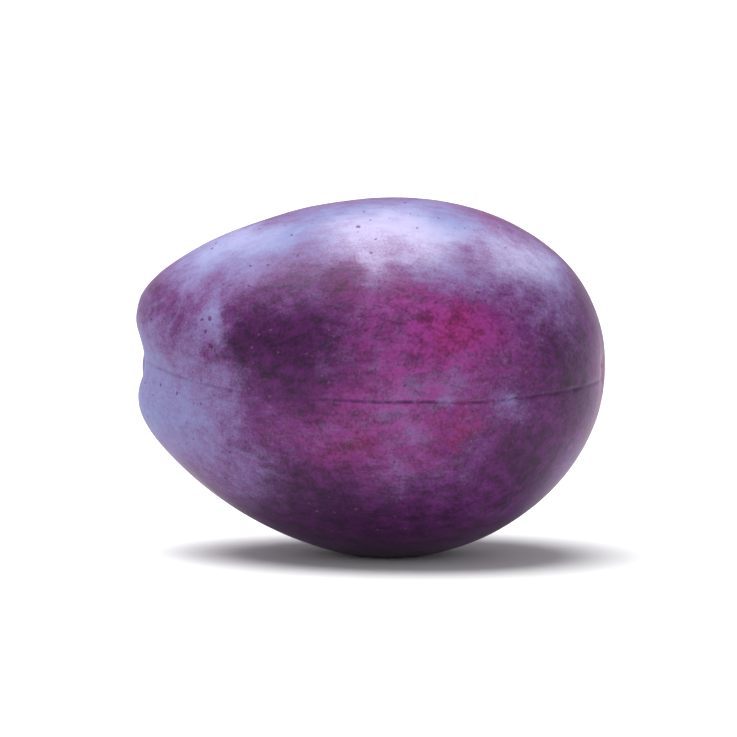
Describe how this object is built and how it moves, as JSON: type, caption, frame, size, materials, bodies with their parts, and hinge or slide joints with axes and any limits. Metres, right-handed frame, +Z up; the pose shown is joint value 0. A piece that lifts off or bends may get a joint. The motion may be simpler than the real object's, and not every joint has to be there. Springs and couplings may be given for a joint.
{
  "type": "plum",
  "caption": "Oval purple plum lying on its belly, with a stem pit, a suture line along one cheek and a patchy waxy bloom.",
  "frame": {"origin": "on the surface that the plum rests on, below the middle of its box", "axes": "+X along the fruit from the stem end to the tip, the suture faces -Y, +Z up out of the resting surface"},
  "size_m": [0.06, 0.0466, 0.0455],
  "materials": {
    "skin": "satin"
  },
  "bodies": {
    "root": {"plum": "skin"}
  },
  "joints": []
}
